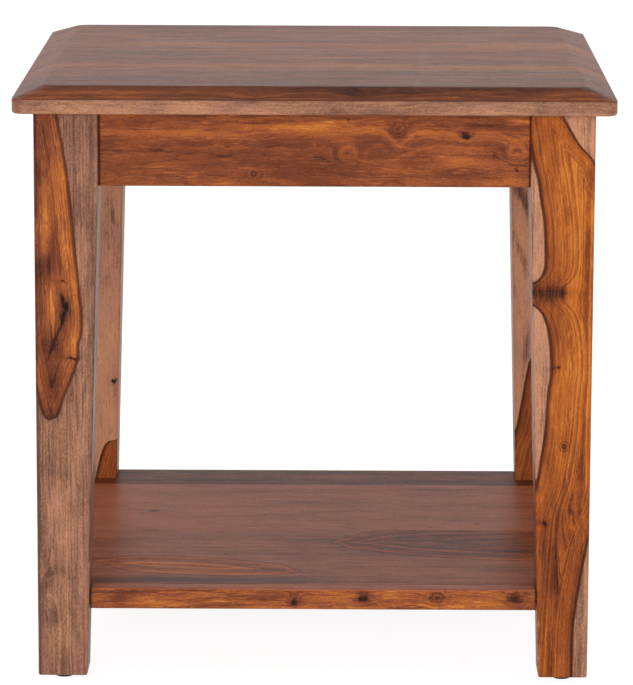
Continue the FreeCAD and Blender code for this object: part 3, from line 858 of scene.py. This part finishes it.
def shelf_front_figure():
    """Plank with a bright flame at the left and a dark tongue at the right."""
    low = ((-0.21, -0.1155), (-0.1705, -0.1234), (-0.1505, -0.1453), (-0.1266, -0.1574),
           (-0.0954, -0.1631), (-0.0644, -0.1656), (-0.0258, -0.1617), (-0.005, -0.135), (0.004, -0.07),
           (0.011, -0.0577), (0.0285, -0.0772), (0.0523, -0.0866), (0.0837, -0.0991), (0.1229, -0.108),
           (0.21, -0.118))
    high = ((-0.21, -0.117), (-0.1705, -0.1137), (-0.1528, -0.1036), (-0.1293, -0.0999),
            (-0.0976, -0.1026), (-0.0659, -0.1117), (-0.0263, -0.127), (-0.005, -0.147),
            (0.004, -0.082), (0.011, -0.0577), (0.0246, -0.0372), (0.0448, -0.0199), (0.07, -0.005),
            (0.21, 0.01))
    marks = (
        Mark(-0.15, -0.11, 0.05, 0.004, lean=-0.05, shade=0.2),
        Mark(0.0, -0.1895, 0.4, 0.0022, shade=0.5, straight=True),
        *streaks(
            (0.1, -0.055, 0.12, 0.06, 0.38), (-0.115, -0.128, 0.05, 0.01, -0.28),
            (-0.03, -0.15, 0.03, 0.01, 0.12), (0.15, -0.14, 0.05, 0.014, 0.2),
            (-0.1, -0.178, 0.12, 0.009, 0.95), (0.05, -0.183, 0.15, 0.002, 0.25),
        ),
    )
    return Figure(
        "XYZ", 31.8, heart_low=low, heart_high=high, face=shelf_top, wave=0.005, spread=1.1, lines=1.3,
        shade=0.08, contrast=0.95, sap_shade=-0.12, sap_contrast=0.7, outline=0.35, softness=0.0028,
        rosy=True, tint=(1.1, 0.98, 0.92), marks=marks)


def shelf_middle_figure():
    """Rosy plank with three small knots, and paler, redder ends by the legs that are painted light."""
    # The edges lie the wrong way round, so no heartwood shows
    low = ((-0.21, 0.5), (0.21, 0.5))
    high = ((-0.21, 0.4), (0.21, 0.4))
    marks = (
        Mark(-0.133, 0.05, 0.007, 0.005, bend=0.004, shade=0.5, core=0.85),
        knot(0.094, -0.002, 0.0026),
        knot(0.132, 0.009, 0.0026),
        Mark(-0.012, 0.081, 0.03, 0.007, bend=0.004, shade=0.45),
        *streaks(
            (0.1, 0.131, 0.016, 0.004, 0.6), (0.14, 0.07, 0.06, 0.03, 0.06),
            # Paler ends by the legs: painted light that offsets the shade of the legs and stands for their
            # reddish reflection.
            (-0.15, 0.03, 0.07, 0.1, -0.42), (0.165, 0.02, 0.03, 0.09, -0.12),
        ),
    )
    return Figure(
        "XYZ", 37.3, heart_low=low, heart_high=high, face=shelf_top, wave=0.008, spread=0.3, lines=0.5,
        sap_shade=-0.12, sap_contrast=0.9, rosy=True, marks=marks)


def top_front_figure():
    """Plank whose square edge is pale sapwood, below dark heartwood."""
    edge_top = table_top - bevel_drop
    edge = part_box("top_plank_front")[0].y + 0.0004
    low = ((-0.23, edge), (0.23, edge))
    high = ((-0.23, 0.3), (0.23, 0.3))
    marks = (
        # Painted shade: dark lines along the crown of the front bevel and along its foot.
        Mark(0.0, -0.2035, 0.6, 0.004, shade=0.16, straight=True),
        Mark(0.0, -0.2235, 0.6, 0.0022, shade=0.22, straight=True),
        Mark(-0.04, -0.213, 0.02, 0.008, lean=0.25, bend=0.006, shade=-0.1),
        Mark(0.03, -0.214, 0.016, 0.006, lean=-0.3, bend=0.008, shade=0.22),
        Mark(0.075, -0.21, 0.03, 0.005, lean=0.15, bend=0.006, shade=0.1),
        Mark(0.15, -0.216, 0.03, 0.004, bend=0.006, shade=-0.12),
        *streaks(
            (-0.16, -0.214, 0.05, 0.007, -0.14), (0.03, -0.214, 0.05, 0.01, 0.14),
            (0.14, -0.214, 0.06, 0.01, 0.12), (-0.15, -0.226, 0.06, 0.0016, -0.12),
            (0.0, -0.226, 0.07, 0.0016, 0.14), (0.0, -0.13, 0.3, 0.012, 0.08),
        ),
    )
    return Figure(
        "XYZ", 52.1, heart_low=low, heart_high=high, face=edge_top, tilt=3.0, wave=0.008, spread=0.3,
        lines=0.5, shade=0.3, contrast=0.75, sap_shade=-0.1, sap_contrast=0.9, outline=0.35,
        softness=0.0009, gloss=0.1, tint=top_tint, marks=marks)


def top_figure(seed, pith, marks):
    """Heartwood plank of the top, with wide wavy rings."""
    return Figure(
        "XYZ", seed, pith=pith, wave=0.011, spread=0.25, lines=0.3, shade=0.17, contrast=0.75, gloss=0.1,
        tint=top_tint, marks=marks)


def plain_figure(grain, seed, pith, shade=0.1, contrast=0.8, tint=apron_tint, **more):
    """Heartwood with little but its rings."""
    return Figure(grain, seed, pith=pith, wave=0.005, shade=shade, contrast=contrast, tint=tint, **more)


# Finishes

# How far inside the heartwood a board lies that has no sapwood, in metres
deep_in_heartwood = 0.1


def board_coordinates(tree, grain):
    """Object coordinates put in order: along the grain, across the board and through it."""
    axes = dict(zip("XYZ", tree.parts(tree.values("ShaderNodeTexCoord")["Object"])))
    return tree.joined(*[axes[letter] for letter in grain])


def edge_curve(tree, along, points):
    """Where an edge of the heartwood lies across the board, by points given along the grain."""
    start, stop = points[0][0], points[-1][0]
    low = min(across for place, across in points)
    high = max(across for place, across in points) + same_place
    made = tree.node("ShaderNodeFloatCurve")
    curve = made.mapping.curves[0]
    for _ in points[2:]:
        curve.points.new(0.5, 0.5)
    for point, (place, across) in zip(curve.points, points):
        point.location = ((place - start) / (stop - start), (across - low) / (high - low))
        point.handle_type = "AUTO_CLAMPED"
    made.mapping.update()
    tree.feed(made.inputs["Value"], (along - start) / (stop - start))
    return Value(tree, made.outputs[0]) * (high - low) + low


def heart_and_rings(tree, place, flow, figure):
    """How far inside the heartwood a place lies, below zero in the sapwood, and the rings there."""
    along, across, depth = tree.parts(place)
    wander = tree.parts(flow)[1] - across
    across += (depth - figure.face) * figure.tilt
    low = edge_curve(tree, along, figure.heart_low)
    high = edge_curve(tree, along, figure.heart_high)
    from_low = across - low
    from_high = high - across
    tip_radius, edge_wander = 0.003, 0.2
    heart = tree.math("SMOOTH_MIN", from_low, from_high, tip_radius) + wander * edge_wander
    ring = heart
    if not figure.nested:
        ring = across
        low_reach, high_reach = 0.03, 0.016
        for distance, edge, reach in ((from_low, low, low_reach), (from_high, high, high_reach)):
            ring -= tree.between(distance, reach, 0.0) * edge
    calm_rim, hairline = 0.01, 0.0002
    ring += tree.between(heart, 0.0, calm_rim) * wander
    return heart, tree.blended(tree.between(heart, -hairline, hairline), across + wander, ring)


def pith_distance(tree, flow, figure):
    """Distance from the pith, which the rings lie round."""
    across, depth = tree.parts(flow)[1:]
    aside = across - figure.pith[0]
    below = depth - figure.pith[1]
    return tree.math("SQRT", aside * aside + below * below)


def opaque(colour, tint=(1.0, 1.0, 1.0)):
    """Colour setting with full alpha, tinted."""
    return (*[part * share for part, share in zip(colour, tint)], 1.0)


def new_material(name):
    """New material, its node tree and its shader."""
    material = bpy.data.materials.new(name)
    material.use_nodes = True
    return material, Tree(material.node_tree), material.node_tree.nodes["Principled BSDF"]


def add_finish(tree, shader, colour, roughness, height, strength, distance):
    """Feeds a shader its colour and roughness, and a bump by a height, so far in metres."""
    bump = tree.value("ShaderNodeBump", {"Strength": strength, "Distance": distance, "Height": height})
    for name, value in (("Base Color", colour), ("Roughness", roughness), ("Normal", bump)):
        tree.feed(shader.inputs[name], value)


def wood_material(name, figure, colours):
    """Lacquered wood with the figure of one board."""
    material, tree, shader = new_material(name)
    place = board_coordinates(tree, figure.grain)
    flow = tree.place(grain_flow_group(), Vector=place, Wave=figure.wave, Seed=figure.seed)["Vector"]
    rough = place
    for scale, ahead, aside in (((110, 260, 260), 0.007, 0.0035), ((420, 800, 800), 0.003, 0.0018)):
        rough = tree.wandered(rough, scale, (ahead, aside, aside), figure.seed)
    bend, shade, core = 0.0, 0.0, 0.0
    for mark in figure.marks:
        given = {label.capitalize(): value for label, value in mark._asdict().items()}
        vector = place if given.pop("Straight") else rough
        made = tree.place(
            grain_mark_group(), Vector=vector, Bend_before=bend, Shade_before=shade, Core_before=core,
            **given)
        bend, shade, core = made["Bend"], made["Shade"], made["Core"]
    heart = deep_in_heartwood
    if figure.heart_low:
        heart, ring = heart_and_rings(tree, place, flow, figure)
    if figure.pith:
        ring = pith_distance(tree, flow, figure)
    ring = ring * figure.spread + bend
    tones = {
        "Heart_" + tone: opaque(getattr(colours, "heart_" + tone), figure.tint)
        for tone in ("gleam", "light", "mid", "dark")}
    pale = "rose_" if figure.rosy else "sap_"
    tones.update({"Sap_" + tone: opaque(getattr(colours, pale + tone)) for tone in ("light", "dark")})
    wood = tree.place(
        figured_wood_group(), Vector=flow, Ring=ring, Heart=heart, Shade=shade, Heart_shade=figure.shade,
        Heart_contrast=figure.contrast, Sap_shade=figure.sap_shade, Sap_contrast=figure.sap_contrast,
        Core=core, Lines=figure.lines, Outline=figure.outline, Softness=figure.softness, Seed=figure.seed,
        Heart_edge=opaque(colours.heart_edge), **tones)
    # Eased edges come out paler: partly worn lacquer, partly a painted highlight.
    worn_and_highlit = tree.place(
        worn_and_highlit_arris_group(), Vector=place, Color=wood["Color"], Roughness=wood["Roughness"],
        Seed=figure.seed)
    add_finish(
        tree, shader, worn_and_highlit["Color"], worn_and_highlit["Roughness"], wood["Height"], strength=0.15, distance=0.0004)
    shader.inputs["Specular IOR Level"].default_value = figure.gloss
    return material


def glide_material(colours):
    """Black moulded plastic, scuffed by the floor."""
    material, tree, shader = new_material("Glide plastic")
    place = tree.values("ShaderNodeTexCoord")["Object"]
    speckle = tree.noise(tree.scaled(place, (1500, 1500, 1500)), 1.0)
    scuff = tree.between(tree.noise(tree.scaled(place, (160, 700, 300)), 2.0), 0.55, 0.75)
    scuffed = (0.018, 0.017, 0.016, 1.0)
    colour = tree.mix(scuff, opaque(colours.glide), scuffed)
    add_finish(tree, shader, colour, speckle * 0.2 + 0.45, speckle, strength=0.2, distance=0.0002)
    return material


def steel_material(colours):
    """Zinc-plated steel with a cloudy crystal pattern and fine scratches."""
    material, tree, shader = new_material("Zinc-plated steel")
    place = tree.values("ShaderNodeTexCoord")["Object"]
    cloud = tree.between(tree.noise(tree.scaled(place, (500, 500, 500)), 4.0), 0.35, 0.65)
    scratch = tree.noise(tree.scaled(place, (3000, 400, 3000)), 5.0)
    dull = (0.36, 0.34, 0.3, 1.0)
    colour = tree.mix(cloud, opaque(colours.steel), dull)
    add_finish(tree, shader, colour, scratch * 0.3 + 0.2, scratch, strength=0.1, distance=0.0001)
    shader.inputs["Metallic"].default_value = 1.0
    return material


def dress_node(node, material):
    """Gives a CAD node that stays in the picture its finish."""
    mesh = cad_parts[node].data
    mesh.materials.clear()
    mesh.materials.append(material)


# Operators

class TableOperator:
    """What the operators of this table share."""

    bl_options = {"REGISTER", "UNDO"}


def finish_board(context, bm, name, node, figure):
    """Makes the bmesh a lacquered board with its own figure."""
    wood = wood_material(name + "_wood", figure, context.scene.table_colours)
    finish_piece(bm, name, node, wood)


def saw_boards(context, blank, figures, node_name, name):
    """Cuts a glued-up blank into its boards, named by patterns, each with its own figure."""
    for label, figure in figures.items():
        low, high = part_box(node_name % label)
        bm = board_between(blank, low.y, high.y, context.scene.table_sizes.seam_groove)
        finish_board(context, bm, name % label, node_name % label, figure)
    blank.free()


class MESH_OT_table_legs(TableOperator, bpy.types.Operator):
    """Build the four tapered legs"""

    bl_idname = "mesh.table_legs"
    bl_label = "Legs"

    def execute(self, context):
        figures = (
            front_left_leg_figure(), front_right_leg_figure(),
            back_left_leg_figure(), back_right_leg_figure())
        for (end, side), figure in zip(corners, figures):
            bm = leg_mesh(end, side, context.scene.table_sizes)
            finish_board(context, bm, "%s_%s_leg" % (end, side), "leg_%s_%s" % (end, side), figure)
        return {"FINISHED"}


class MESH_OT_table_aprons(TableOperator, bpy.types.Operator):
    """Build the four aprons"""

    bl_idname = "mesh.table_aprons"
    bl_label = "Aprons"

    def execute(self, context):
        figures = {
            "front": front_apron_figure(),
            "back": plain_figure("XZY", 41.6, (0.4, 0.13), marks=(
                pale_knot(-0.07, 0.413, 0.006),
                knot(0.09, 0.402, 0.003),
                Mark(0.02, 0.42, 0.05, 0.004, shade=0.2))),
            "left": plain_figure("YZX", 45.2, (0.42, -0.12), marks=(
                knot(0.06, 0.408, 0.0035),
                Mark(-0.05, 0.4, 0.05, 0.006, shade=0.16))),
            "right": plain_figure("YZX", 48.7, (0.38, 0.14), marks=(
                pale_knot(-0.04, 0.404, 0.005),
                Mark(0.07, 0.415, 0.05, 0.005, shade=0.16))),
        }
        for name, figure in figures.items():
            bm = apron_mesh(name, context.scene.table_sizes)
            finish_board(context, bm, name + "_apron", "apron_" + name, figure)
        return {"FINISHED"}


class MESH_OT_table_top(TableOperator, bpy.types.Operator):
    """Build the bevelled top from its four planks"""

    bl_idname = "mesh.table_top"
    bl_label = "Top"

    def execute(self, context):
        pale_streak = (Mark(0.0, -0.079, 0.2, 0.006, shade=-0.12),)
        dark_and_bright = (
            Mark(0.0, 0.082, 0.25, 0.006, lean=0.033, shade=0.2), Mark(0.0, 0.026, 0.2, 0.008, shade=-0.14))
        figures = {
            "front": top_front_figure(),
            "second": top_figure(55.4, (0.08, 0.41), pale_streak),
            "third": top_figure(58.8, (-0.08, 0.4), dark_and_bright),
            "back": plain_figure(
                "XYZ", 61.3, (0.3, 0.41), shade=0.19, spread=0.25, contrast=0.75, gloss=0.1, tint=top_tint),
        }
        saw_boards(context, top_mesh(context.scene.table_sizes), figures, "top_plank_%s", "top_%s_plank")
        return {"FINISHED"}


class MESH_OT_table_shelf(TableOperator, bpy.types.Operator):
    """Build the notched shelf from its strip and three planks"""

    bl_idname = "mesh.table_shelf"
    bl_label = "Shelf"

    def execute(self, context):
        figures = {
            "front_strip": shelf_strip_figure(),
            "plank_front": shelf_front_figure(),
            "plank_middle": shelf_middle_figure(),
            "plank_back": plain_figure("XYZ", 66.6, (0.25, 0.03), shade=0.45, spread=0.5),
        }
        saw_boards(context, shelf_mesh(context.scene.table_sizes), figures, "shelf_%s", "shelf_%s_board")
        return {"FINISHED"}


class MESH_OT_table_glides(TableOperator, bpy.types.Operator):
    """Build the glides under the feet"""

    bl_idname = "mesh.table_glides"
    bl_label = "Glides"

    def execute(self, context):
        plastic = glide_material(context.scene.table_colours)
        for end, side in corners:
            node = "foot_glide_%s_%s" % (end, side)
            finish_piece(glide_mesh(node), "%s_%s_glide" % (end, side), node, plastic)
        return {"FINISHED"}


class MESH_OT_table_inner_parts(TableOperator, bpy.types.Operator):
    """Finish the corner blocks, bearers, dowels and fasteners"""

    bl_idname = "mesh.table_inner_parts"
    bl_label = "Inner parts"

    def execute(self, context):
        colours = context.scene.table_colours
        block_figure = plain_figure("XYZ", 71.2, (0.0, 0.3), shade=-0.1)
        bearer_figure = plain_figure("YZX", 74.9, (0.1, 0.0))
        dowel_figure = plain_figure("XYZ", 78.3, (0.1, 0.0), shade=-0.2)
        block_wood = wood_material("corner_block_wood", block_figure, colours)
        for end, side in corners:
            dress_node("corner_block_%s_%s" % (end, side), block_wood)
        bearer_wood = wood_material("bearer_wood", bearer_figure, colours)
        for side in sides:
            dress_node("shelf_bearer_" + side, bearer_wood)
        dress_node("shelf_dowels", wood_material("dowel_wood", dowel_figure, colours))
        steel = steel_material(colours)
        for node in ("corner_block_screws", "top_screws", "shelf_screws", "glide_nails"):
            dress_node(node, steel)
        return {"FINISHED"}


class SCENE_OT_table_stage(TableOperator, bpy.types.Operator):
    """Set up the floor, the light and the camera"""

    bl_idname = "scene.table_stage"
    bl_label = "Stage"

    def execute(self, context):
        settings = context.scene.table_stage
        make_floor(settings, context.scene.table_colours)
        make_world(settings)
        make_key_light(settings)
        make_camera(settings)
        context.scene.view_settings.view_transform = "Standard"
        return {"FINISHED"}


# Stage

def seen_directly(tree):
    """Mask of rays that show the background: from the camera, off gloss or through glass."""
    path = tree.values("ShaderNodeLightPath")
    mirror = tree.math("MAXIMUM", path["Is Glossy Ray"], path["Is Transmission Ray"])
    return tree.math("MAXIMUM", path["Is Camera Ray"], mirror)


def make_floor(settings, colours):
    """Wide pale floor that shows as white and keeps the table's shadow."""
    half_width = 8
    glow_strength = 0.9
    bm = bmesh.new()
    bmesh.ops.create_grid(bm, x_segments=8, y_segments=8, size=half_width)
    mesh = bpy.data.meshes.new("floor")
    bm.to_mesh(mesh)
    bm.free()
    floor = bpy.data.objects.new("floor", mesh)
    bpy.context.scene.collection.objects.link(floor)
    material, tree = new_material("Pale floor")[:2]
    tree.tree.nodes.clear()
    plain = tree.value("ShaderNodeBsdfDiffuse", {"Color": opaque(colours.floor)})
    shaded = tree.value("ShaderNodeBsdfDiffuse", {"Color": opaque((settings.shadow_depth,) * 3)})
    glow = tree.value("ShaderNodeEmission", {"Strength": glow_strength})
    white = tree.value("ShaderNodeAddShader", {0: shaded, 1: glow})
    choice = tree.value("ShaderNodeMixShader", {0: seen_directly(tree), 1: plain, 2: white})
    tree.node("ShaderNodeOutputMaterial", {"Surface": choice})
    mesh.materials.append(material)


def make_world(settings):
    """Even soft light from all round, which the camera sees as white."""
    world = bpy.data.worlds.new("Studio")
    world.use_nodes = True
    bpy.context.scene.world = world
    tree = Tree(world.node_tree)
    tree.tree.nodes.clear()
    way = tree.values("ShaderNodeTexCoord")["Generated"]
    wall_top, ceiling_edge = 0.2, 0.75
    level = tree.between(tree.parts(way)[2], wall_top, ceiling_edge, 1.0, settings.ceiling)
    path = tree.values("ShaderNodeLightPath")
    strength = tree.blended(path["Is Diffuse Ray"], level, settings.ambient)
    seen = tree.math("MAXIMUM", path["Is Camera Ray"], path["Is Transmission Ray"])
    strength = tree.blended(seen, strength, 1.0)
    light = tree.value("ShaderNodeBackground", {"Color": (1.0, 1.0, 1.0, 1.0), "Strength": strength})
    tree.node("ShaderNodeOutputWorld", {"Surface": light})


def make_key_light(settings):
    """Wide soft light in front of the table, a little above it."""
    light = bpy.data.lights.new("key_light", "AREA")
    light.shape = "RECTANGLE"
    light.size, light.size_y = 2.6, 1.8
    light.energy = settings.key_power
    lamp = bpy.data.objects.new("key_light", light)
    lamp.visible_glossy = False
    bpy.context.scene.collection.objects.link(lamp)
    place = Vector((-0.4, -4.0, 0.8))
    aim = Vector((0.0, 0.0, 0.25)) - place
    lamp.matrix_world = Matrix.Translation(place) @ aim.to_track_quat("-Z", "Y").to_matrix().to_4x4()


def make_camera(settings):
    """Camera at the photograph's viewing angle."""
    yaw, pitch, roll = -0.0054, 0.1914, 0.0034
    forward = Vector((math.sin(yaw) * math.cos(pitch), math.cos(yaw) * math.cos(pitch), -math.sin(pitch)))
    level = Vector((math.cos(yaw), -math.sin(yaw), 0.0))
    upright = level.cross(forward)
    right = math.cos(roll) * level + math.sin(roll) * upright
    up = math.cos(roll) * upright - math.sin(roll) * level
    turn = Matrix((right, up, -forward)).transposed().to_4x4()
    camera = bpy.data.objects.new("camera", bpy.data.cameras.new("camera"))
    bpy.context.scene.collection.objects.link(camera)
    place = Vector((0.018012, -3.161055, 0.836728))
    camera.matrix_world = Matrix.Translation(place) @ turn
    camera.data.lens = settings.lens
    camera.data.sensor_width = 36.0
    camera.data.clip_end = 100.0
    bpy.context.scene.camera = camera


# Panel and registration

class VIEW3D_PT_end_table(bpy.types.Panel):
    """Lists the table's operators and settings"""

    bl_label = "End table"
    bl_idname = "VIEW3D_PT_end_table"
    bl_space_type = "VIEW_3D"
    bl_region_type = "UI"
    bl_category = "End table"

    def draw(self, context):
        layout = self.layout
        for operator in operators:
            layout.operator(operator.bl_idname)
        for group in (context.scene.table_sizes, context.scene.table_colours, context.scene.table_stage):
            column = layout.column(align=True)
            for name in group.__annotations__:
                column.prop(group, name)


operators = (
    MESH_OT_table_legs,
    MESH_OT_table_aprons,
    MESH_OT_table_top,
    MESH_OT_table_shelf,
    MESH_OT_table_glides,
    MESH_OT_table_inner_parts,
    SCENE_OT_table_stage,
)
setting_groups = {
    "table_sizes": TableSizes,
    "table_colours": TableColours,
    "table_stage": StageSettings,
}


def register():
    """Adds the settings, the operators and the panel to Blender."""
    for group in setting_groups.values():
        bpy.utils.register_class(group)
    for name, group in setting_groups.items():
        setattr(bpy.types.Scene, name, PointerProperty(type=group))
    for operator in operators:
        bpy.utils.register_class(operator)
    bpy.utils.register_class(VIEW3D_PT_end_table)


def unregister():
    """Takes the panel, the operators and the settings out again."""
    bpy.utils.unregister_class(VIEW3D_PT_end_table)
    for operator in reversed(operators):
        bpy.utils.unregister_class(operator)
    for name in setting_groups:
        delattr(bpy.types.Scene, name)
    for group in setting_groups.values():
        bpy.utils.unregister_class(group)


def main():
    """Builds the whole table and its stage."""
    register()
    bpy.ops.mesh.table_legs()
    bpy.ops.mesh.table_aprons()
    bpy.ops.mesh.table_top()
    bpy.ops.mesh.table_shelf()
    bpy.ops.mesh.table_glides()
    bpy.ops.mesh.table_inner_parts()
    bpy.ops.scene.table_stage()


if __name__ == "__main__":
    main()
